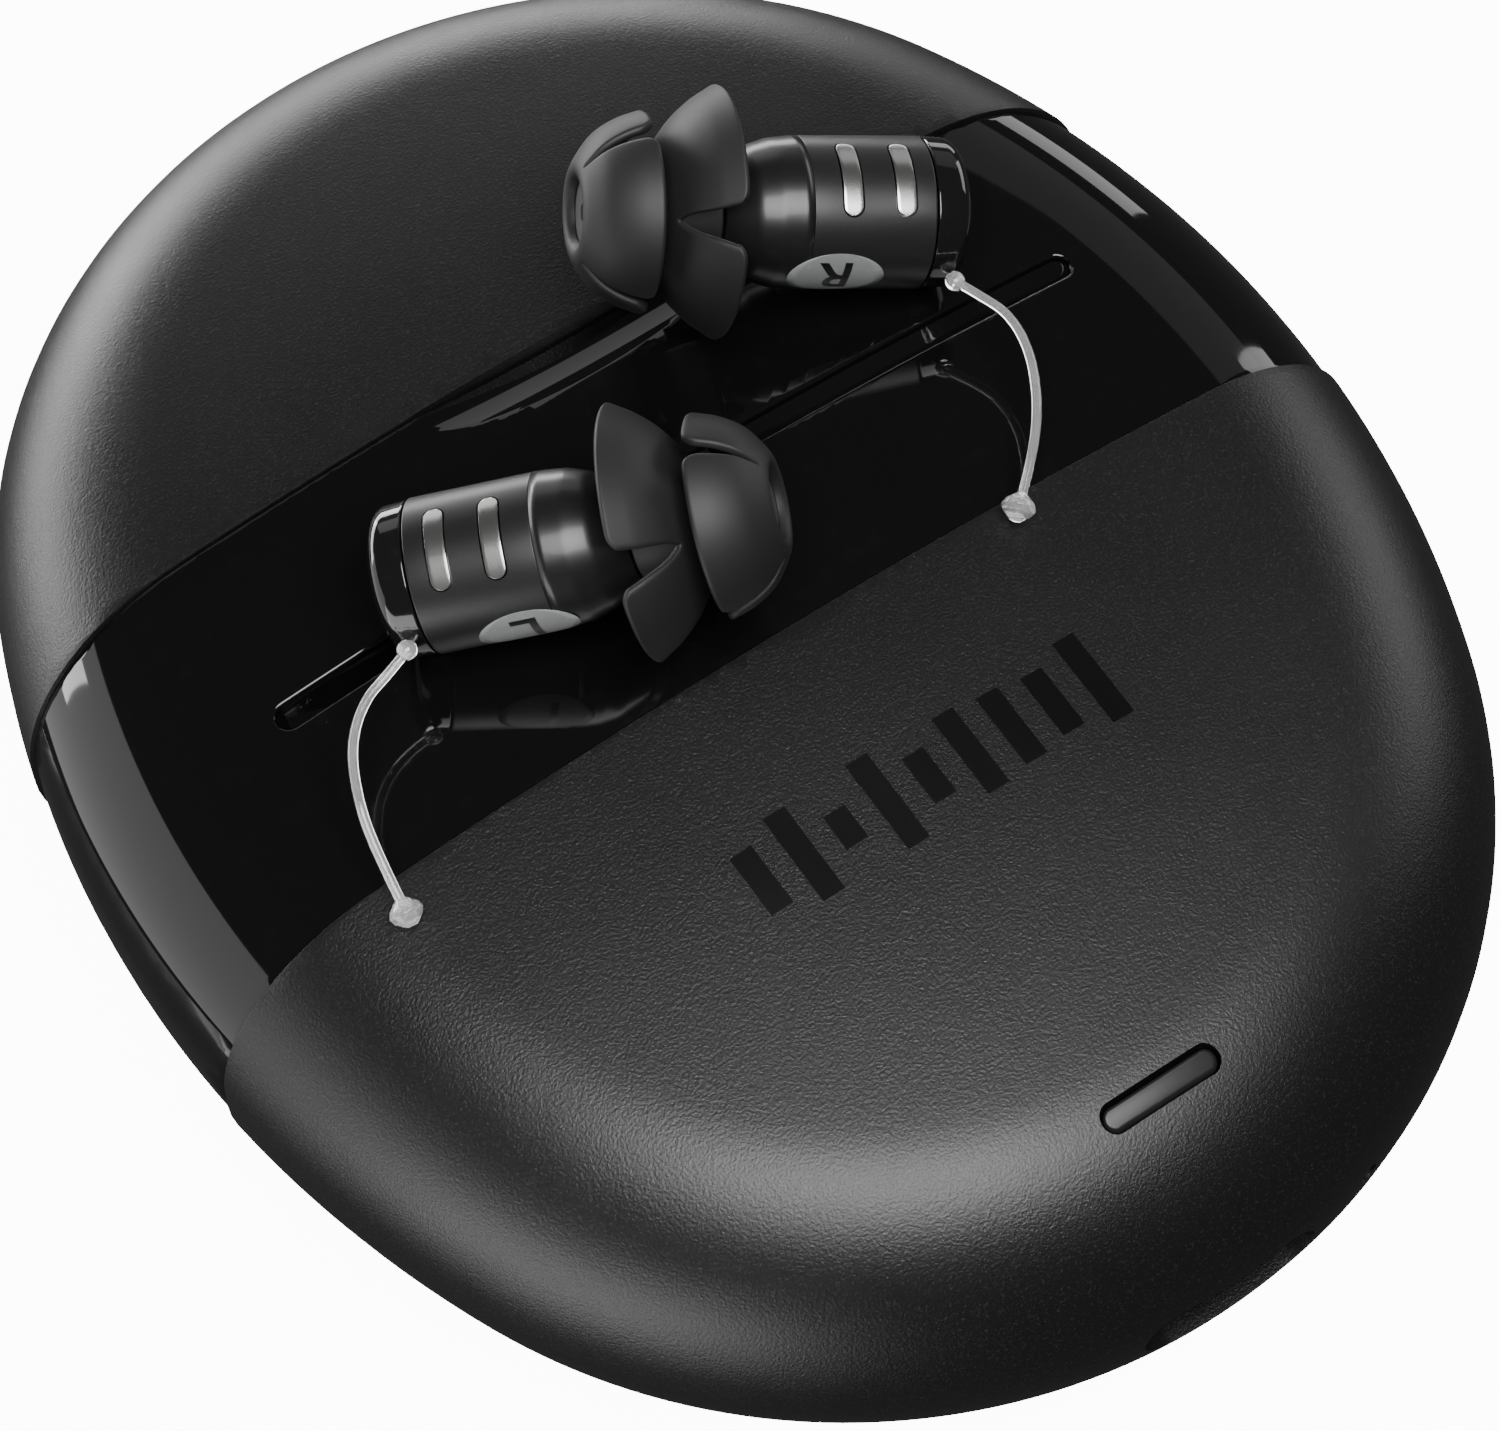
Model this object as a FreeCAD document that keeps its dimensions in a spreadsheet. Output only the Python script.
"""Pocket charging case with a sliding rear cover, and the two in-canal earbuds that it charges.

Frame: origin under the middle of the case, +X along the glossy band, -Y the end with the charging
port, +Y the way the rear cover slides open, +Z up.  Millimetres.
"""
import FreeCAD
import Part
import Sketcher
import math
import os
from types import SimpleNamespace

V3 = FreeCAD.Vector
Turn = FreeCAD.Rotation

# ---------------------------------------------------------------------------------- driving sizes
SIZES = [
    ("end_radius", 33.0, "plan radius of the two ends"),
    ("end_offset", 9.7, "end arc centre from the middle"),
    ("side_bulge", 2.0, "long sides beyond the end radius"),
    ("case_height", 24.2, "height at the middle of the crown"),
    ("crown_radius", 200.0, "radius of the domed top"),
    ("girth", 11.0, "height of the widest line"),
    ("crown_round", 11.0, "edge radius above the girth"),
    ("base_round", 10.5, "edge radius below the girth"),
    ("wall", 1.2, "wall of the outer shells"),
    ("slide_gap", 0.15, "clearance between shells and frame"),
    ("frame_wall", 1.2, "wall of the frame and the cradle"),
    ("front_edge", -6.46, "rear edge of the front shell"),
    ("cover_edge", 14.88, "front edge of the sliding cover"),
    ("deck_drop", 0.25, "glossy band below the matte shells"),
    ("deck_wall", 1.6, "wall of the glossy deck"),
    ("parting", 15.5, "height of the joint between deck and frame"),
    ("cover_travel", 16.0, "how far the cover slides"),
    ("groove_centre", 4.1, "milled groove, place along Y"),
    ("groove_half", 23.9, "milled groove, half length"),
    ("groove_width", 1.4, "milled groove, width"),
    ("groove_depth", 0.5, "milled groove, depth"),
    ("scoop_reach", 2.75, "thumb scoop ahead of the cover edge"),
    ("scoop_half", 10.7, "half chord of the thumb scoop"),
    ("scoop_depth", 0.7, "depth of the thumb scoop at the cover"),
    ("scoop_backing", 3.6, "inset of the underside behind the scoop"),
    ("notch_half", 5.4, "half width of the nail notch"),
    ("notch_reach", 1.1, "nail notch under the cover edge"),
    ("notch_depth", 2.9, "nail notch below the crown"),
    ("led_set", 7.1, "indicator window in from the front end"),
    ("led_length", 6.8, "indicator slot length"),
    ("led_width", 1.5, "indicator slot width"),
    ("led_gap", 0.2, "gap round the light pipe"),
    ("port_height", 9.8, "centre height of the port"),
    ("port_side", 0.63, "recess beyond the receptacle, sideways"),
    ("port_over", 0.3, "recess beyond the receptacle, up and down"),
    ("plug_width", 8.94, "receptacle width"),
    ("plug_tall", 3.2, "receptacle height"),
    ("plug_wall", 0.3, "receptacle sheet"),
    ("plug_gap", 0.15, "gap round the receptacle"),
    ("plug_set", 3.3, "receptacle mouth in from the front end"),
    ("plug_length", 7.4, "receptacle length"),
    ("reset_x", 9.0, "reset button place along X"),
    ("reset_lift", 0.8, "reset button above the port"),
    ("reset_radius", 0.5, "reset plunger radius"),
    ("reset_flange", 0.85, "reset plunger flange radius"),
    ("flange_thick", 0.4, "reset plunger flange thickness"),
    ("reset_travel", 0.3, "reset plunger stroke"),
    ("fit", 0.05, "clearance of a sliding pin"),
    ("rod_x", 15.0, "guide rod place along X"),
    ("rod_height", 4.9, "guide rod height"),
    ("rod_radius", 1.0, "guide rod radius"),
    ("rod_nose", 0.7, "guide rod ahead of its clip"),
    ("rod_grip", 2.5, "guide rod inside the cover boss"),
    ("bush_radius", 2.1, "guide bush radius"),
    ("bush_length", 12.5, "guide bush length"),
    ("bush_set", 8.2, "rear face of the bushes behind the wells"),
    ("boss_radius", 2.2, "cover boss radius"),
    ("boss_gap", 0.5, "gap between a boss and its bush when shut"),
    ("clip_radius", 1.6, "rod clip radius"),
    ("clip_thick", 0.8, "rod clip thickness"),
    ("stop_gap", 0.3, "gap left between clip and bush when open"),
    ("magnet_width", 6.0, "closing magnet width"),
    ("magnet_thick", 1.3, "closing magnet thickness"),
    ("magnet_tall", 4.0, "closing magnet height"),
    ("magnet_set", 0.15, "closing magnet in from the frame wall"),
    ("plate_thick", 0.5, "catch plate thickness"),
    ("plate_proud", 0.05, "catch plate proud of the cover wall"),
    ("well_place", 23.3, "stored earbud axis along Y"),
    ("well_room", 0.5, "clearance round a stored earbud"),
    ("well_wall", 1.0, "wall of the wells"),
    ("stored_tip", 1.9, "tip of the stored earbud"),
    ("battery_half", 17.0, "battery half width"),
    ("battery_front", -29.0, "battery and board front edge"),
    ("battery_clear", 1.2, "battery to the guide rods"),
    ("battery_base", 3.6, "battery underside"),
    ("battery_thick", 7.5, "battery thickness"),
    ("board_lift", 1.9, "main board above the battery"),
    ("board_edge", 1.8, "board screws in from the board's side"),
    ("board_thick", 1.0, "circuit board thickness"),
    ("tongue_half", 5.0, "board tongue half width"),
    ("tongue_set", 5.7, "board tongue in from the front end"),
    ("chip_tall", 0.9, "chip height"),
    ("lamp_tall", 0.6, "indicator lamp height"),
    ("post_x", 25.0, "deck post place along X"),
    ("post_front", -2.0, "front deck posts"),
    ("post_rear", 11.0, "rear deck posts"),
    ("post_radius", 2.0, "deck post radius"),
    ("post_base", 6.0, "underside of the deck posts"),
    ("screw_radius", 0.9, "housing screw radius"),
    ("screw_head", 1.5, "housing screw head radius"),
    ("screw_length", 8.0, "housing screw shank"),
    ("pad_radius", 2.4, "foot pad radius"),
    ("pad_thick", 0.8, "foot pad thickness"),
    ("small_screw", 0.7, "board screw radius"),
    ("small_head", 1.3, "board screw head radius"),
    ("board_post_clear", 2.2, "board posts out from the battery"),
    ("board_post_rear", 4.0, "rear board posts in from the board's edge"),
    ("board_post_front", 5.0, "front board posts in from the board's edge"),
    ("pin_radius", 0.45, "contact pin radius"),
    ("pin_travel", 0.8, "contact pin stroke"),
    ("bud_length", 19.9, "earbud from tip to cap"),
    ("barrel_radius", 3.85, "earbud barrel radius"),
    ("barrel_front", 11.4, "front of the barrel"),
    ("cap_seam", 17.8, "seam between barrel and cap"),
    ("barrel_wall", 0.5, "barrel wall"),
    ("tip_bore", 1.6, "bore of the silicone tip"),
    ("neck_radius", 1.52, "nozzle neck radius"),
    ("dome_radius", 5.1, "front dome of the tip"),
    ("dome_rim", 3.5, "rear rim of the front dome"),
    ("flange_radius", 6.4, "rear flange of the tip"),
    ("flange_rim", 7.3, "rim of the rear flange"),
    ("tip_rear", 7.2, "rear end of the tip sleeve"),
    ("contact_a", 13.4, "front contact bar"),
    ("contact_b", 16.15, "rear contact bar"),
    ("contact_width", 0.95, "contact bar width"),
    ("contact_gap", 0.08, "dark gap round a contact bar"),
    ("mark_place", 12.9, "side mark along the barrel"),
    ("mark_length", 5.0, "side mark length"),
    ("thread_radius", 0.24, "pull thread radius"),
    ("lug_radius", 0.5, "lug where the thread leaves the cap"),
    ("bead_radius", 0.9, "pull bead radius"),
    ("left_fall", 0.31, "deck below its crown where the left tip rests"),
    ("right_fall", 0.81, "deck below its crown where the right tip rests"),
    ("left_tip_x", 0.02, "tip of the left earbud"),
    ("left_tip_y", -4.43, "tip of the left earbud"),
    ("right_tip_x", 1.56, "tip of the right earbud"),
    ("right_tip_y", 15.77, "tip of the right earbud"),
]
CONTACT_SPAN = 64.0          # degrees of the barrel that a contact bar covers
CONTACT_ROLL = 7.5           # degrees from the top of the barrel to the middle of a contact bar
PETAL_ROLL = 43.0            # degrees from the top to the first gap between the petals
MARK_SPAN = 48.0             # degrees of the barrel that the side mark covers
MARK_ROLL = 93.0             # degrees from the top of the barrel to the middle of the side mark
CHIPS = [(-8.5, 15.5, 5.0), (5.0, 18.0, 4.0), (-0.4, 8.4, 3.2)]   # x, from the rear edge, side
HALL_PLACE = (-13.5, 2.0)    # x, from the rear edge
HALL_SIZE = (3.0, 2.0)
LAMP_PITCH = 2.2
LAMP_WIDTH = 1.4
LEFT_HEADING = 149.8         # degrees from +X to the left earbud's cap end
RIGHT_HEADING = -25.5        # degrees from +X to the right earbud's cap end
LEFT_TILT = 14.3             # degrees that the left earbud's cap end hangs down
RIGHT_TILT = 13.0            # degrees that the right earbud's cap end hangs down
LEFT_ROLL = 6.0              # degrees that the left earbud is rolled on to its marked flank
RIGHT_ROLL = 0.0


class Size:
    """A length together with the spreadsheet formula that it comes from."""

    def __init__(self, value, formula):
        self.value = value
        self.formula = formula

    def __add__(self, other):
        other = as_size(other)
        return Size(self.value + other.value, f"({self.formula} + {other.formula})")

    def __sub__(self, other):
        other = as_size(other)
        return Size(self.value - other.value, f"({self.formula} - {other.formula})")

    def __mul__(self, other):
        other = as_size(other)
        return Size(self.value * other.value, f"({self.formula} * {other.formula})")

    def __truediv__(self, other):
        other = as_size(other)
        return Size(self.value / other.value, f"({self.formula} / {other.formula})")

    def __neg__(self):
        return Size(-self.value, f"(0 - {self.formula})")

    __radd__ = __add__
    __rmul__ = __mul__

    def __rsub__(self, other):
        return as_size(other) - self


def as_size(number):
    return number if isinstance(number, Size) else Size(float(number), repr(float(number)))


def smaller(a, b):
    return Size(min(a.value, b.value), f"min({a.formula}; {b.formula})")


def root(a):
    return Size(math.sqrt(a.value), f"sqrt({a.formula})")


doc = FreeCAD.newDocument("earbuds_case")
sheet = doc.addObject("Spreadsheet::Sheet", "Sizes")
s = SimpleNamespace()
for row, (alias, value, note) in enumerate(SIZES, start=1):
    sheet.set(f"A{row}", alias)
    sheet.set(f"B{row}", str(value))
    sheet.setAlias(f"B{row}", alias)
    sheet.set(f"C{row}", note)
    setattr(s, alias, Size(value, f"Sizes.{alias}"))
doc.recompute()

# ------------------------------------------------------------------------------- derived places
half_width = s.end_radius + s.side_bulge
half_length = s.end_offset + s.end_radius
led_place = s.led_set - half_length
plug_front = s.plug_set - half_length
port_width = s.plug_width + 2 * s.port_side
port_tall = s.plug_tall + 2 * s.port_over
reset_height = s.port_height + s.reset_lift
bush_rear = s.well_place + s.bush_set
bush_front = bush_rear - s.bush_length
boss_front = bush_rear + s.boss_gap
clip_front = bush_front - s.cover_travel - s.stop_gap - s.clip_thick
rod_front = clip_front - s.rod_nose
rod_rear = boss_front + s.rod_grip
guide_top = s.rod_height + s.bush_radius - s.fit
well_height = s.rod_height + s.bush_radius + s.well_wall + s.well_room + s.flange_radius
well_start = s.stored_tip - s.well_room
well_step = s.stored_tip + s.flange_rim + s.well_room
well_end = s.stored_tip + s.bud_length + s.well_room
flange_room = s.flange_radius + s.well_room
barrel_room = s.barrel_radius + s.well_room
flange_floor = well_height - flange_room
barrel_floor = well_height - barrel_room
battery_rear = rod_front - s.battery_clear
battery_top = s.battery_base + s.battery_thick
board_base = battery_top + s.board_lift
board_top = board_base + s.board_thick
board_post_x = s.battery_half + s.board_post_clear
board_half = board_post_x + s.board_edge
tongue_front = s.tongue_set - half_length

nodes = []


def bind(item, **sizes):
    """Tie properties to formulas; a double underscore stands for a dot."""
    for path, size in sizes.items():
        item.setExpression(path.replace("__", "."), as_size(size).formula)
    return item


def node(item, label):
    """Give a finished sub-part its own name; it is written out under that name."""
    item.Label = label
    nodes.append(item)
    return item


# ------------------------------------------------------------------------------- plain solids
def place(item, x, y, z, turn=Turn()):
    item.Placement = FreeCAD.Placement(V3(0, 0, 0), turn)
    return bind(item, Placement__Base__x=x, Placement__Base__y=y, Placement__Base__z=z)


def block(x0, x1, y0, y1, z0, z1, name="block"):
    item = doc.addObject("Part::Box", name)
    bind(item, Length=as_size(x1) - x0, Width=as_size(y1) - y0, Height=as_size(z1) - z0)
    return place(item, x0, y0, z0)


def upright(x, y, z0, z1, radius, name="upright"):
    """Round bar along Z."""
    item = doc.addObject("Part::Cylinder", name)
    bind(item, Radius=radius, Height=as_size(z1) - z0)
    return place(item, x, y, z0)


def lying(x, z, y0, y1, radius, name="lying"):
    """Round bar along Y."""
    item = doc.addObject("Part::Cylinder", name)
    bind(item, Radius=radius, Height=as_size(y1) - y0)
    return place(item, x, y0, z, Turn(V3(1, 0, 0), -90))


def joined(*items, name="joined"):
    item = doc.addObject("Part::MultiFuse", name)
    item.Shapes = list(items)
    return item


def cut(base, *tools, name="cut"):
    item = doc.addObject("Part::Cut", name)
    item.Base = base
    item.Tool = tools[0] if len(tools) == 1 else joined(*tools, name="tools")
    return item


def shared(a, b, name="shared"):
    item = doc.addObject("Part::Common", name)
    item.Base = a
    item.Tool = b
    return item


def group(*items, name="group"):
    item = doc.addObject("Part::Compound", name)
    item.Links = list(items)
    return item


def pill_up(x, y, z0, z1, length, width):
    """Slot-shaped prism along Z, long side along X."""
    half = (as_size(length) - width) / 2
    ends = [upright(as_size(x) + side * half, y, z0, z1, width / 2) for side in (-1, 1)]
    return joined(block(x - half, x + half, y - width / 2, y + width / 2, z0, z1), *ends)


def pill_along(x, z, y0, y1, width, tall):
    """Slot-shaped prism along Y, long side along X."""
    half = (as_size(width) - tall) / 2
    ends = [lying(as_size(x) + side * half, z, y0, y1, tall / 2) for side in (-1, 1)]
    return joined(block(x - half, x + half, y0, y1, z - tall / 2, z + tall / 2), *ends)


def origin_plane(body, role):
    return next(item for item in body.Origin.OriginFeatures if item.Role == role)


def sketch_on(body, role, name):
    sketch = body.newObject("Sketcher::SketchObject", name)
    sketch.AttachmentSupport = [(origin_plane(body, role), "")]
    sketch.MapMode = "FlatFace"
    return sketch


def turned(profile, name="turned"):
    """Lathe part about its own X axis; the profile lists (distance along, radius) corners."""
    corners = [(as_size(along), as_size(radius)) for along, radius in profile]
    body = doc.addObject("PartDesign::Body", name)
    sketch = sketch_on(body, "XZ_Plane", name + "_profile")
    points = [V3(along.value, radius.value, 0) for along, radius in corners]
    for start, end in zip(points, points[1:] + points[:1]):
        sketch.addGeometry(Part.LineSegment(start, end))
    count = len(points)
    for i in range(count):
        sketch.addConstraint(Sketcher.Constraint("Coincident", i, 2, (i + 1) % count, 1))
    for i, (along, radius) in enumerate(corners):
        for kind, axis, size in (("DistanceX", -2, along), ("DistanceY", -1, radius)):
            if size.value == 0:
                sketch.addConstraint(Sketcher.Constraint("PointOnObject", i, 1, axis))
            else:
                index = sketch.addConstraint(Sketcher.Constraint(kind, -1, 1, i, 1, size.value))
                sketch.setExpression(f"Constraints[{index}]", size.formula)
    turn = body.newObject("PartDesign::Revolution", name + "_turn")
    turn.Profile = sketch
    turn.ReferenceAxis = (sketch, ["H_Axis"])
    turn.Angle = 360.0
    body.Tip = turn
    return body


# ---------------------------------------------------------------------------------- outer envelope
crown_centre = s.case_height - s.crown_radius
side_radius = (s.end_offset * s.end_offset + half_width * half_width
               - s.end_radius * s.end_radius) / (2 * (half_width - s.end_radius))
end_top = crown_centre + root(s.crown_radius * s.crown_radius - half_length * half_length)
base_round = smaller(s.base_round, s.girth - 0.4)
crown_round = smaller(s.crown_round, (end_top - base_round) * 1.235)


def oval_sketch(body, inset):
    """Plan outline of four tangent arcs: two ends and two long sides."""
    end_radius = s.end_radius - inset
    long_radius = side_radius - inset
    side_centre = half_width - side_radius
    lean = math.atan2(s.end_offset.value, -side_centre.value)
    sketch = sketch_on(body, "XY_Plane", "plan")
    bind(sketch, AttachmentOffset__Base__z=inset)
    arcs = [
        (0, s.end_offset.value, end_radius, lean, math.pi - lean),
        (-side_centre.value, 0, long_radius, math.pi - lean, math.pi + lean),
        (0, -s.end_offset.value, end_radius, math.pi + lean, 2 * math.pi - lean),
        (side_centre.value, 0, long_radius, -lean, lean),
    ]
    for x, y, radius, start, end in arcs:
        circle = Part.Circle(V3(x, y, 0), V3(0, 0, 1), radius.value)
        sketch.addGeometry(Part.ArcOfCircle(circle, start, end))
    for i in range(4):
        sketch.addConstraint(Sketcher.Constraint("Tangent", i, 2, (i + 1) % 4, 1))
    for i in (0, 2):
        sketch.addConstraint(Sketcher.Constraint("PointOnObject", i, 3, -2))
    rear = sketch.addConstraint(
        Sketcher.Constraint("DistanceY", -1, 1, 0, 3, s.end_offset.value))
    front = sketch.addConstraint(
        Sketcher.Constraint("DistanceY", 2, 3, -1, 1, s.end_offset.value))
    for index in (rear, front):
        sketch.setExpression(f"Constraints[{index}]", s.end_offset.formula)
    for i, (x, y, radius, start, end) in enumerate(arcs):
        index = sketch.addConstraint(Sketcher.Constraint("Radius", i, radius.value))
        sketch.setExpression(f"Constraints[{index}]", radius.formula)
    return sketch


def crown_sketch(body, inset):
    """Area above the domed top, out past the widest point."""
    radius = s.crown_radius - inset
    reach = half_length + 3
    top = s.case_height + 3
    edge = crown_centre.value + math.sqrt(radius.value ** 2 - reach.value ** 2)
    angle = math.acos(reach.value / radius.value)
    sketch = sketch_on(body, "XZ_Plane", "crown")
    circle = Part.Circle(V3(0, crown_centre.value, 0), V3(0, 0, 1), radius.value)
    sketch.addGeometry(Part.ArcOfCircle(circle, angle, math.pi / 2))
    corners = [V3(0, crown_centre.value + radius.value, 0), V3(0, top.value, 0),
               V3(reach.value, top.value, 0), V3(reach.value, edge, 0)]
    for start, end in zip(corners, corners[1:]):
        sketch.addGeometry(Part.LineSegment(start, end))
    sketch.addConstraint(Sketcher.Constraint("Coincident", 0, 2, 1, 1))
    sketch.addConstraint(Sketcher.Constraint("Coincident", 1, 2, 2, 1))
    sketch.addConstraint(Sketcher.Constraint("Coincident", 2, 2, 3, 1))
    sketch.addConstraint(Sketcher.Constraint("Coincident", 3, 2, 0, 1))
    sketch.addConstraint(Sketcher.Constraint("PointOnObject", 0, 3, -2))
    sketch.addConstraint(Sketcher.Constraint("PointOnObject", 1, 1, -2))
    sketch.addConstraint(Sketcher.Constraint("Vertical", 1))
    sketch.addConstraint(Sketcher.Constraint("Horizontal", 2))
    sketch.addConstraint(Sketcher.Constraint("Vertical", 3))
    sizes = [
        (Sketcher.Constraint("DistanceY", 0, 3, -1, 1, -crown_centre.value), -crown_centre),
        (Sketcher.Constraint("Radius", 0, radius.value), radius),
        (Sketcher.Constraint("DistanceX", -1, 1, 2, 2, reach.value), reach),
        (Sketcher.Constraint("DistanceY", -1, 1, 2, 2, top.value), top),
    ]
    for constraint, size in sizes:
        sketch.setExpression(f"Constraints[{sketch.addConstraint(constraint)}]", size.formula)
    return sketch


def edge_names(feature, keep):
    return [f"Edge{i}" for i, edge in enumerate(feature.Shape.Edges, start=1) if keep(edge.BoundBox)]


envelopes = {}


def envelope(inset):
    """Solid of the whole case drawn in by the same distance everywhere."""
    inset = as_size(inset)
    if inset.formula in envelopes:
        return envelopes[inset.formula]
    body = doc.addObject("PartDesign::Body", "envelope")
    pad = body.newObject("PartDesign::Pad", "prism")
    pad.Profile = oval_sketch(body, inset)
    bind(pad, Length=s.case_height + 1 - inset)
    dome = body.newObject("PartDesign::Groove", "dome")
    dome.Profile = crown_sketch(body, inset)
    dome.ReferenceAxis = (dome.Profile[0], ["V_Axis"])
    dome.Angle = 360.0
    body.Tip = dome
    doc.recompute()
    top = body.newObject("PartDesign::Fillet", "crown_edge")
    top.Base = (dome, edge_names(dome, lambda box: box.ZMin > s.girth.value))
    bind(top, Radius=crown_round - inset)
    body.Tip = top
    doc.recompute()
    low = body.newObject("PartDesign::Fillet", "base_edge")
    low.Base = (top, edge_names(top, lambda box: box.ZMax < inset.value + 0.01))
    bind(low, Radius=base_round - inset)
    body.Tip = low
    doc.recompute()
    envelopes[inset.formula] = body
    return body


SIDE = 60.0                  # well past any side of the case
OVER = s.case_height + 5     # well above the case


def slab(y0, y1, z0=-1.0, z1=OVER):
    return block(-SIDE, SIDE, y0, y1, z0, z1, name="slab")


# ---------------------------------------------------------------------------------- outer shells
frame_inset = s.wall + s.slide_gap
inner_inset = frame_inset + s.frame_wall
plate_front = half_length - s.wall - s.plate_proud
magnet_rear = half_length - inner_inset - s.magnet_set
band_front = s.front_edge + s.slide_gap
band_rear = s.cover_edge - s.slide_gap


def outer_shell():
    return cut(envelope(0), envelope(s.wall), name="shell")


led_slot = pill_up(0, led_place, s.parting, OVER, s.led_length, s.led_width)
port_recess = pill_along(0, s.port_height, -SIDE, plug_front, port_width, port_tall)
plug_slot = pill_along(0, s.port_height, -SIDE, tongue_front + 1, s.plug_width + 2 * s.plug_gap,
                       s.plug_tall + 2 * s.plug_gap)
pinhole = lying(s.reset_x, reset_height, -SIDE, plug_front + 1, s.reset_radius + s.fit)
front_half = shared(outer_shell(), slab(-SIDE, s.front_edge))
node(cut(front_half, led_slot, port_recess, plug_slot, pinhole), "front_shell")

plate_half = s.magnet_width / 2
plate_low = s.girth - s.magnet_tall / 2
plate_high = s.girth + s.magnet_tall / 2
rear_half = shared(outer_shell(), slab(s.cover_edge, SIDE))
cover_bosses = [
    shared(lying(side * s.rod_x, s.rod_height, boss_front, SIDE, s.boss_radius),
           envelope(s.wall / 2))
    for side in (-1, 1)
]
rod_sockets = [
    lying(side * s.rod_x, s.rod_height, boss_front - 1, rod_rear, s.rod_radius)
    for side in (-1, 1)
]
plate_recess = block(-plate_half, plate_half, plate_front - 0.3, plate_front + s.plate_thick,
                     plate_low, plate_high)
node(cut(joined(rear_half, *cover_bosses), *rod_sockets, plate_recess), "rear_cover")
node(block(-plate_half, plate_half, plate_front, plate_front + s.plate_thick,
           plate_low, plate_high), "catch_plate")

# -------------------------------------------------------------------------------------- base frame
posts = [(side * s.post_x, y) for side in (-1, 1) for y in (s.post_front, s.post_rear)]
board_posts = [(side * board_post_x, y) for side in (-1, 1)
               for y in (battery_rear - s.board_post_rear, s.battery_front + s.board_post_front)]
usb_front = tongue_front + 1
button_face = usb_front - 0.4
flange_front = button_face - s.reset_travel - s.fit - 0.45 - s.flange_thick
head_base = s.pad_thick + 0.4
head_top = head_base + 1.0
floor_inside = inner_inset + 0.3
holder_half = plate_half + 1
guide_half = s.bush_radius + 0.9

frame_skin = joined(envelope(frame_inset), shared(envelope(s.deck_drop), slab(band_front, band_rear)))
frame_wall = shared(cut(frame_skin, envelope(inner_inset)), slab(-SIDE, SIDE, -1.0, s.parting))
guide_blocks = [
    block(side * s.rod_x - guide_half, side * s.rod_x + guide_half, bush_front, bush_rear,
          frame_inset + 0.4, guide_top)
    for side in (-1, 1)
]
port_block = block(-port_width / 2 - s.wall, port_width / 2 + s.wall, -SIDE, usb_front - s.fit,
                   s.port_height - port_tall / 2 - s.wall, s.port_height + port_tall / 2 + s.wall)
reset_boss = lying(s.reset_x, reset_height, -SIDE, flange_front - s.fit, s.reset_flange + s.wall)
magnet_holder = block(-holder_half, holder_half, magnet_rear - s.magnet_thick, magnet_rear + 0.6,
                      plate_low - 1, plate_high + 1)
foot_bosses = [upright(x, y, s.deck_drop + 0.6, s.post_base, s.pad_radius + 1) for x, y in posts]
board_bosses = [upright(x, y, floor_inside - 0.6, board_base, s.small_screw + 1)
                for x, y in board_posts]
boss_holes = [
    lying(side * s.rod_x, s.rod_height, boss_front - 0.3, SIDE, s.boss_radius + 0.3)
    for side in (-1, 1)
]
bush_seats = [
    lying(side * s.rod_x, s.rod_height, bush_front - 1, bush_rear + 1, s.bush_radius)
    for side in (-1, 1)
]
magnet_seat = block(-plate_half, plate_half, magnet_rear - s.magnet_thick - 1, magnet_rear,
                    plate_low, plate_high)
reset_guide = lying(s.reset_x, reset_height, -SIDE, tongue_front + 1, s.reset_radius + s.fit)
flange_seat = lying(s.reset_x, reset_height, flange_front - s.fit, tongue_front + 1,
                    s.reset_flange + s.fit)
foot_holes = []
for x, y in posts:
    foot_holes += [
        upright(x, y, -1, s.pad_thick, s.pad_radius),
        upright(x, y, 0, head_top, s.screw_head + s.fit),
        upright(x, y, 0, s.post_base + 1, s.screw_radius + s.fit),
    ]
board_holes = [upright(x, y, board_base - s.screw_length / 2, board_base + 1, s.small_screw)
               for x, y in board_posts]
frame_inside = shared(
    joined(*guide_blocks, magnet_holder, port_block, reset_boss, *board_bosses),
    envelope(frame_inset))
frame_solid = joined(frame_wall, frame_inside, *foot_bosses)
node(cut(frame_solid, *boss_holes, *bush_seats, magnet_seat, port_recess, plug_slot, reset_guide,
         flange_seat, *foot_holes, *board_holes), "base_frame")
node(block(-plate_half, plate_half, magnet_rear - s.magnet_thick, magnet_rear,
           plate_low, plate_high), "closing_magnet")

node(group(*[upright(x, y, 0, s.pad_thick, s.pad_radius) for x, y in posts]), "foot_pads")
node(group(*[
    joined(upright(x, y, head_base, head_top, s.screw_head),
           upright(x, y, head_top, head_top + s.screw_length, s.screw_radius))
    for x, y in posts
]), "housing_screws")

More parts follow.
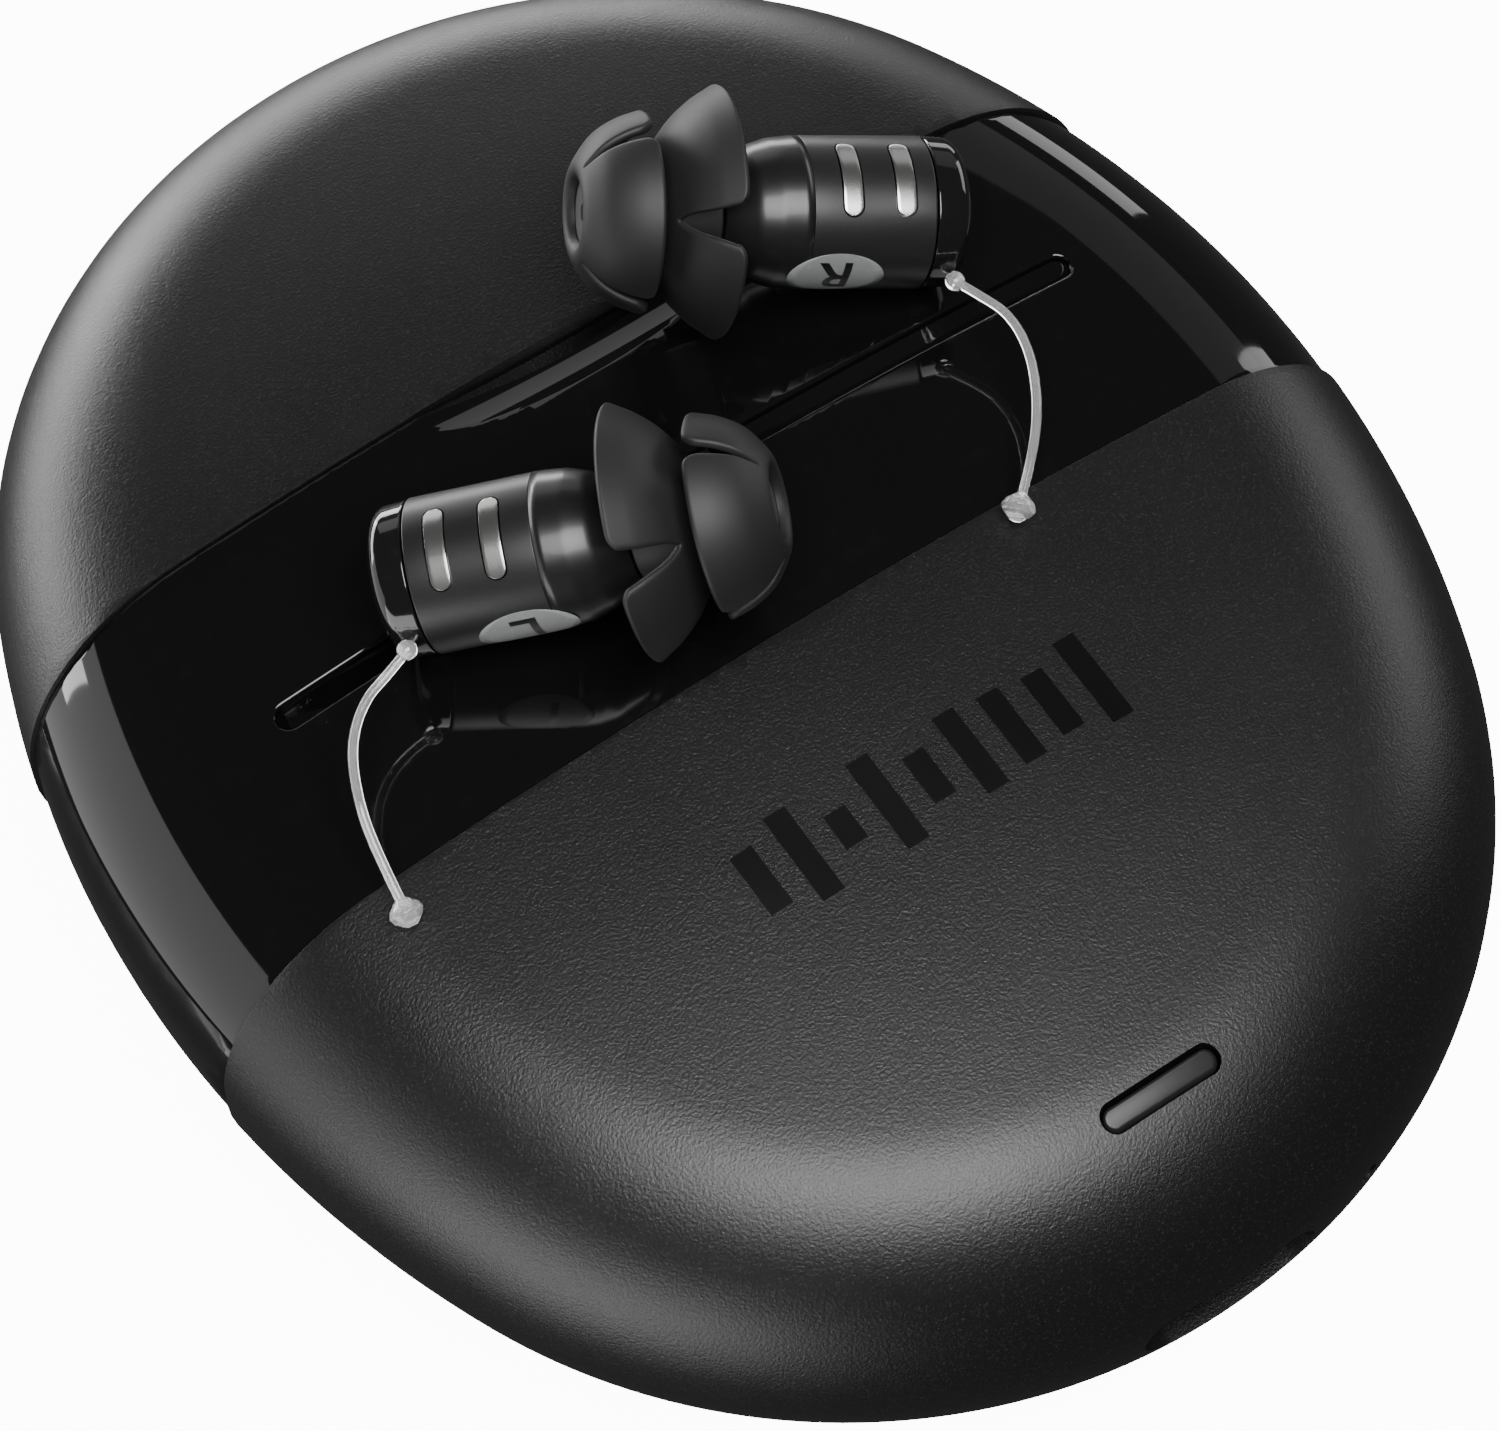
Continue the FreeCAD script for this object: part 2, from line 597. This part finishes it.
# ------------------------------------------------------------------------------------- centre deck
deck_skin = cut(envelope(s.deck_drop), envelope(s.deck_drop + s.deck_wall))
deck_band = shared(deck_skin, slab(band_front, band_rear, s.parting))
scoop_front = band_rear - s.scoop_reach - 1.5
backing_slab = block(-s.scoop_half - 2, s.scoop_half + 2, scoop_front, band_rear, s.parting, OVER)
scoop_backing = shared(cut(envelope(s.deck_drop + 0.4), envelope(s.scoop_backing)), backing_slab)
deck_posts = [shared(upright(x, y, s.post_base, OVER, s.post_radius), envelope(s.deck_drop + 0.8))
              for x, y in posts]
post_holes = [upright(x, y, 0, head_top + s.screw_length, s.screw_radius) for x, y in posts]
groove = cut(pill_up(0, s.groove_centre, s.parting, OVER, 2 * s.groove_half, s.groove_width),
             envelope(s.deck_drop + s.groove_depth))
scoop_edge = crown_centre + root(s.crown_radius * s.crown_radius - band_rear * band_rear)
scoop_radius = (s.scoop_half * s.scoop_half + s.scoop_depth * s.scoop_depth) / (2 * s.scoop_depth)
scoop_ball = doc.addObject("Part::Ellipsoid", "scoop_ball")
bind(scoop_ball, Radius1=scoop_radius, Radius2=scoop_radius,
     Radius3=scoop_radius * (s.scoop_reach / s.scoop_half))
place(scoop_ball, 0, band_rear, scoop_edge - s.scoop_depth + scoop_radius)
node(cut(joined(deck_band, scoop_backing, *deck_posts), *post_holes, groove, scoop_ball),
     "centre_deck")

# ------------------------------------------------------------------------------------------ cradle
cradle_skin = shared(cut(envelope(frame_inset), envelope(inner_inset)), slab(band_rear, SIDE, s.parting))
flange_out = flange_room + s.well_wall
barrel_out = barrel_room + s.well_wall
tub_step = well_step + s.well_wall
tub_end = well_end + s.well_wall
tubs = [
    shared(block(-tub_step, tub_step, s.well_place - flange_out, s.well_place + flange_out,
                 flange_floor - s.well_wall, OVER), envelope(inner_inset)),
    shared(block(-tub_end, tub_end, s.well_place - barrel_out, s.well_place + barrel_out,
                 barrel_floor - s.well_wall, OVER), envelope(inner_inset)),
]
pin_places = [s.stored_tip + s.contact_a, s.stored_tip + s.contact_b]
pockets = []
for side in (-1, 1):
    a, b = sorted((side * well_start, side * well_step), key=lambda size: size.value)
    pockets.append(block(a, b, s.well_place - flange_room, s.well_place + flange_room,
                         flange_floor, OVER))
    a, b = sorted((side * (well_step - 0.01), side * well_end), key=lambda size: size.value)
    pockets.append(block(a, b, s.well_place - barrel_room, s.well_place + barrel_room,
                         barrel_floor, OVER))
    pockets += [upright(side * x, s.well_place, s.girth - 4, s.girth, s.pin_radius + s.fit)
                for x in pin_places]
nail_notch = block(-s.notch_half, s.notch_half, band_rear - 1, band_rear + s.notch_reach,
                   s.case_height - frame_inset - s.notch_depth + 0.3, OVER)
node(cut(joined(cradle_skin, *tubs), *pockets, nail_notch), "cradle")

# ------------------------------------------------------------------------- slide of the rear cover
for side, word in ((-1, "left"), (1, "right")):
    x = side * s.rod_x
    node(lying(x, s.rod_height, rod_front, rod_rear, s.rod_radius), f"{word}_guide_rod")
    node(cut(lying(x, s.rod_height, bush_front, bush_rear, s.bush_radius),
             lying(x, s.rod_height, bush_front - 1, bush_rear + 1, s.rod_radius + s.fit)),
         f"{word}_rod_bush")
node(group(*[
    cut(lying(side * s.rod_x, s.rod_height, clip_front, clip_front + s.clip_thick, s.clip_radius),
        lying(side * s.rod_x, s.rod_height, clip_front - 1, clip_front + 1 + s.clip_thick,
              s.rod_radius))
    for side in (-1, 1)
]), "rod_clips")

# ------------------------------------------------------------------------------ power and circuits
node(block(-s.battery_half, s.battery_half, s.battery_front, battery_rear, s.battery_base,
           battery_top), "battery")
node(block(-s.battery_half + 5, s.battery_half - 5, s.battery_front + 5, battery_rear - 3,
           inner_inset, s.battery_base), "battery_pad")

board = joined(
    block(-board_half, board_half, s.battery_front, battery_rear, board_base, board_top),
    block(-s.tongue_half, s.tongue_half, tongue_front, s.battery_front + 1, board_base, board_top))
board_cuts = [upright(x, y, board_base - 1, board_top + 1, s.small_screw + s.fit)
              for x, y in board_posts]
node(cut(board, *board_cuts), "main_board")
node(group(*[
    joined(upright(x, y, board_top, board_top + 1, s.small_head),
           upright(x, y, board_base - s.screw_length / 2, board_top, s.small_screw))
    for x, y in board_posts
]), "board_screws")


def chip(x, from_rear, width, depth, tall):
    """Package soldered to the main board, placed from the board's rear edge."""
    y = battery_rear - from_rear
    return block(x - width / 2, x + width / 2, y - as_size(depth) / 2, y + as_size(depth) / 2,
                 board_top, board_top + tall)


node(group(*[chip(x, from_rear, width, width, s.chip_tall) for x, from_rear, width in CHIPS]),
     "charge_controller")
node(chip(*HALL_PLACE, *HALL_SIZE, s.chip_tall), "hall_sensor")
lamp_row = battery_rear - led_place
node(group(*[chip(step * LAMP_PITCH, lamp_row, LAMP_WIDTH, LAMP_WIDTH / 2, s.lamp_tall)
             for step in (-1, 0, 1)]), "status_leds")
pipe = pill_up(0, led_place, board_top + s.lamp_tall + s.led_gap, OVER, s.led_length - 2 * s.led_gap,
               s.led_width - 2 * s.led_gap)
node(shared(pipe, envelope(s.slide_gap)), "light_pipe")

plug_rear = plug_front + s.plug_length
usb_base = s.port_height + s.plug_tall / 2
usb_top = usb_base + 0.8
usb_rear = usb_front + 4.7
usb_right = s.reset_x + 2.3
switch_rear = usb_front + 2.5
plug_shell = cut(
    pill_along(0, s.port_height, plug_front, plug_rear, s.plug_width, s.plug_tall),
    pill_along(0, s.port_height, plug_front - 1, plug_rear - 1, s.plug_width - 2 * s.plug_wall,
               s.plug_tall - 2 * s.plug_wall))
node(plug_shell, "usb_receptacle")
node(block(-3.3, 3.3, plug_front + 0.9, plug_rear - 1, s.port_height - 0.35, s.port_height + 0.35),
     "usb_tongue")
node(cut(block(-8, usb_right, usb_front, usb_rear, usb_base, usb_top),
         block(s.reset_x - 1.7, s.reset_x + 1.7, usb_front - 1, switch_rear + 0.1, usb_base - 1,
               usb_top + 1)), "usb_board")
node(joined(block(s.reset_x - 1.6, s.reset_x + 1.6, usb_front, switch_rear, reset_height - 1,
                  reset_height + 1.3),
            lying(s.reset_x, reset_height, button_face, usb_front + 0.1, 0.45)),
     "reset_switch")
plunger_nose = as_size(1.3)
plunger_tail = plunger_nose + s.flange_thick + 0.45
plunger = turned([
    (0, 0), (0, s.reset_radius), (plunger_nose, s.reset_radius), (plunger_nose, s.reset_flange),
    (plunger_nose + s.flange_thick, s.reset_flange), (plunger_nose + s.flange_thick, s.reset_radius),
    (plunger_tail, s.reset_radius), (plunger_tail, 0)])
place(plunger, s.reset_x, flange_front - plunger_nose, reset_height, Turn(V3(0, 0, 1), 90))
node(plunger, "reset_plunger")

flex_thick = 0.2
flex_x0 = s.tongue_half + 0.6
flex_x1 = flex_x0 + 2.8
flex_wall = s.battery_front - 0.6
node(joined(
    block(flex_x0, flex_x1, usb_rear - 2, flex_wall, usb_top, usb_top + flex_thick),
    block(flex_x0, flex_x1, flex_wall - flex_thick, flex_wall, usb_top, board_top + flex_thick),
    block(flex_x0, flex_x1, flex_wall - flex_thick, s.battery_front + 2, board_top,
          board_top + flex_thick)), "board_flex")

# -------------------------------------------------------------------------- charging of the earbuds
contact_base = s.rod_height + s.bush_radius
contact_top = contact_base + 0.6
socket_top = barrel_floor - s.well_wall
pin_top = well_height - s.barrel_radius + 0.15
pin_base = contact_top + s.pin_travel + 0.1
strip_x0 = s.rod_x + 1.2
strip_x1 = strip_x0 + 2.2
strip_front = battery_rear + 1.8
contact_boards = []
contact_flexes = []
sockets = []
magnets = []
for side, word in ((-1, "left"), (1, "right")):
    def span(a, b):
        return (a, b) if side > 0 else (-b, -a)

    contact_boards.append(block(*span(pin_places[0] - 1.6, pin_places[1] + 1.6),
                                s.well_place - 2.3, s.well_place + 2.3, contact_base, contact_top))
    x0, x1 = span(strip_x0, strip_x1)
    contact_flexes.append(joined(
        block(x0, x1, strip_front, s.well_place - 2.3, contact_base, contact_base + flex_thick),
        block(x0, x1, strip_front, strip_front + flex_thick, contact_base, board_top + flex_thick),
        block(x0, x1, battery_rear - 2, strip_front + flex_thick, board_top,
              board_top + flex_thick)))
    for x in pin_places:
        sockets.append(cut(
            upright(side * x, s.well_place, contact_top, socket_top, s.pin_radius * 2),
            upright(side * x, s.well_place, contact_top + 0.1, OVER, s.pin_radius + s.fit)))
    pins = [upright(side * x, s.well_place, pin_base, pin_top, s.pin_radius) for x in pin_places]
    node(group(*pins), f"{word}_contact_pins")
    magnets.append(upright(side * (well_end - 0.8), s.well_place, barrel_floor - s.well_wall - 1,
                           barrel_floor - s.well_wall, 1.1))
node(group(*contact_boards), "contact_boards")
node(group(*contact_flexes), "contact_flexes")
node(group(*sockets), "pin_sockets")
node(group(*magnets), "well_magnets")


# ----------------------------------------------------------------------------------------- earbuds
def sector(u, length, radius, inner, middle, span):
    """Piece of a tube about the earbud's axis; angles in degrees from its top."""
    outer = doc.addObject("Part::Cylinder", "sector")
    bind(outer, Radius=radius, Height=length)
    outer.Angle = span
    turn = Turn(V3(1, 0, 0), 180 - middle - span / 2) * Turn(V3(0, 1, 0), 90)
    place(outer, as_size(u) - length / 2, 0, 0, turn)
    core = doc.addObject("Part::Cylinder", "core")
    bind(core, Radius=inner, Height=length + 2)
    place(core, as_size(u) - length / 2 - 1, 0, 0, Turn(V3(0, 1, 0), 90))
    return cut(outer, core)


def rounded_path(points):
    """Straight runs joined by tangent arcs as large as the two runs allow."""
    corners = [V3(*point) for point in points]
    edges = []
    start = corners[0]
    for before, corner, after in zip(corners, corners[1:], corners[2:]):
        back = (before - corner).normalize()
        ahead = (after - corner).normalize()
        turn = math.pi - back.getAngle(ahead)
        take = 0.45 * min(before.distanceToPoint(corner), after.distanceToPoint(corner))
        radius = take / math.tan(turn / 2)
        middle = corner + (back + ahead).normalize() * (radius / math.cos(turn / 2) - radius)
        enter = corner + back * take
        leave = corner + ahead * take
        edges += [Part.LineSegment(start, enter).toShape(), Part.Arc(enter, middle, leave).toShape()]
        start = leave
    edges.append(Part.LineSegment(start, corners[-1]).toShape())
    return Part.Wire(edges)


def thread_solid(points, radius, lug_radius):
    """Clear filament with a small moulded lug where it leaves the cap."""
    path = rounded_path(points)
    start = V3(*points[0])
    heading = V3(*points[1]) - start
    ring = Part.Wire(Part.Circle(start, heading, radius).toShape())
    tube = path.makePipeShell([ring], True, True)
    return tube.fuse(Part.makeSphere(lug_radius, start)).removeSplitter()


def earbud(word, side, tip_x, tip_y, fall, pose, lug, route):
    """One earbud resting on the deck on its rear flange and its cap.

    side is 1 where the marked flank is on local +Y; pose is heading, tilt and roll in degrees.
    """
    heading, tilt, roll = pose
    turn = Turn(V3(0, 0, 1), heading) * Turn(V3(0, 1, 0), tilt)
    lean = math.radians(tilt)
    tip_z = (s.case_height - fall + s.flange_rim * math.sin(lean)
             + s.flange_radius * math.cos(lean))

    def add(item, name, offset=V3(), own_turn=Turn()):
        shift = turn.multVec(offset)
        place(item, tip_x + shift.x, tip_y + shift.y, tip_z + shift.z, turn * own_turn)
        return node(item, f"{word}_{name}")

    contacts = [(u, side * (CONTACT_ROLL + roll)) for u in (s.contact_a, s.contact_b)]
    inside = s.barrel_radius - s.barrel_wall
    tube = turned([(s.barrel_front, inside), (s.barrel_front, s.barrel_radius),
                   (s.cap_seam, s.barrel_radius), (s.cap_seam, inside)])
    slots = [sector(u, s.contact_width + 2 * s.contact_gap, s.barrel_radius + 1, inside + 0.1, angle,
                    CONTACT_SPAN + 2) for u, angle in contacts]
    add(cut(tube, *slots), "barrel")
    add(group(*[sector(u, s.contact_width, s.barrel_radius + 0.03, inside + 0.1, angle, CONTACT_SPAN)
                for u, angle in contacts]), "contacts")
    add(sector(s.mark_place, s.mark_length, s.barrel_radius + 0.06, s.barrel_radius,
               side * (MARK_ROLL + roll), MARK_SPAN), "side_mark")
    shoulder = s.barrel_front - s.tip_rear
    add(turned([
        (1.4, 0.6), (1.4, s.neck_radius), (s.tip_rear + 0.05, s.neck_radius),
        (s.tip_rear + 0.05, 2.4), (s.tip_rear + 0.15 * shoulder, 2.75),
        (s.tip_rear + 0.4 * shoulder, 3.35), (s.tip_rear + 0.7 * shoulder, s.barrel_radius - 0.15),
        (s.barrel_front, s.barrel_radius), (s.barrel_front, inside - 0.3),
        (s.tip_rear + 1.8, 2.4), (s.tip_rear + 1.8, 0.6)]), "nozzle")
    add(turned([
        (s.cap_seam, 0), (s.cap_seam, s.barrel_radius), (s.cap_seam + 0.4, s.barrel_radius - 0.05),
        (s.bud_length - 0.35, s.barrel_radius - 0.55), (s.bud_length - 0.08, s.barrel_radius - 1.2),
        (s.bud_length, s.barrel_radius - 2), (s.bud_length, 0)]), "cap")
    soft = turned([
        (0, s.tip_bore), (0, 2.3), (0.35, 3.0), (1.2, 4.05), (s.dome_rim, s.dome_radius),
        (s.dome_rim + 0.1, s.dome_radius - 0.5), (2.2, 4.05), (1.6, 2.6),
        (s.dome_rim + 0.5, 2.7), (s.dome_rim + 1.0, 4.0), (s.flange_rim - 1.3, s.flange_radius - 0.9),
        (s.flange_rim, s.flange_radius), (s.flange_rim + 0.15, s.flange_radius - 0.45),
        (s.flange_rim - 1.1, s.flange_radius - 1.5), (s.dome_rim + 1.7, 2.5), (s.tip_rear, 2.4),
        (s.tip_rear, s.tip_bore)])
    gaps = []
    for angle in (0, 120, 240):
        lift = Turn(V3(1, 0, 0), -side * (PETAL_ROLL + roll + angle))
        corner = lift.multVec(V3(4.9, -0.8, 2.75))
        gaps.append(place(block(4.9, s.flange_rim + 1, -0.8, 0.8, 2.75, s.flange_radius + 1),
                          corner.x, corner.y, corner.z, lift))
    add(cut(soft, *gaps), "eartip")
    add(turned([(0.5, 0.45), (0.5, s.tip_bore - 0.05), (1.3, s.tip_bore - 0.05), (1.3, 0.45)]),
        "wax_guard")
    driver_half = 1.35
    add(block(0, 4, -driver_half, driver_half, -driver_half, driver_half), "receiver",
        V3(s.tip_rear.value + 2, -driver_half, -driver_half))
    disc = s.barrel_radius - s.barrel_wall - 0.2
    cell_front = s.contact_a + 0.8
    circuit_front = s.contact_a + 0.2
    add(turned([(circuit_front, 0), (circuit_front, disc), (circuit_front + 0.4, disc),
                (circuit_front + 0.4, 0)]), "circuit")
    add(turned([(cell_front, 0), (cell_front, disc), (s.cap_seam - 0.1, disc),
                (s.cap_seam - 0.1, 0)]), "cell")

    lug_radius = s.barrel_radius.value + lug[1]
    start = V3(s.bud_length.value - lug[0], side * lug_radius * math.sin(math.radians(lug[2])),
               lug_radius * math.cos(math.radians(lug[2])))
    thread = doc.addObject("Part::Feature", "thread")
    thread.Shape = thread_solid(route, s.thread_radius.value, s.lug_radius.value)
    add(thread, "pull_thread", start)
    last = V3(*route[-1])
    ahead = (last - V3(*route[-2])).normalize()
    bead = turned([(0, 0), (0.02, 0.3), (0.35, s.bead_radius - 0.12), (0.72, s.bead_radius),
                   (1.1, s.bead_radius - 0.12), (1.43, 0.3), (1.45, 0)])
    add(bead, "pull_bead", start + last, Turn(V3(1, 0, 0), ahead))


# Each lug: distance in from the cap's end, above the barrel's surface, degrees from the top.
# Each route: corners of the thread in the earbud's own frame, measured from its lug.
LEFT_LUG = (1.16, 0.4, 83.5)
RIGHT_LUG = (0.82, 0.4, 91.0)
LEFT_ROUTE = [
    (0, 0, 0), (0.99, 0.8, -0.34), (2.34, 2.16, -0.21), (3.2, 4.31, -0.5),
    (3.17, 6.93, -1.23), (2.75, 9.12, -2.22), (2.07, 11.3, -3.58)]
RIGHT_ROUTE = [
    (0, 0, 0), (1.03, -0.88, 0.08), (2.34, -2.21, 0.28), (3.04, -4.4, 0.18),
    (3.05, -7.12, -0.28), (2.52, -9.64, -0.96), (1.76, -11.63, -1.81)]
earbud("left", 1, s.left_tip_x, s.left_tip_y, s.left_fall, (LEFT_HEADING, LEFT_TILT, LEFT_ROLL),
       LEFT_LUG, LEFT_ROUTE)
earbud("right", -1, s.right_tip_x, s.right_tip_y, s.right_fall,
       (RIGHT_HEADING, RIGHT_TILT, RIGHT_ROLL), RIGHT_LUG, RIGHT_ROUTE)

# ----------------------------------------------------------------------------------- check and write
doc.recompute()
for item in doc.Objects:
    if "Invalid" in item.State or "Error" in item.State:
        raise SystemExit(f"{item.Name} ({item.Label}) did not recompute: {item.State}")
for item in nodes:
    if item.Shape.isNull() or not item.Shape.isValid() or not item.Shape.Solids:
        raise SystemExit(f"{item.Label} is not a valid solid")
os.makedirs("parts", exist_ok=True)
for item in nodes:
    item.Shape.exportStep(f"parts/{item.Label}.step")
print(len(nodes), "nodes written")
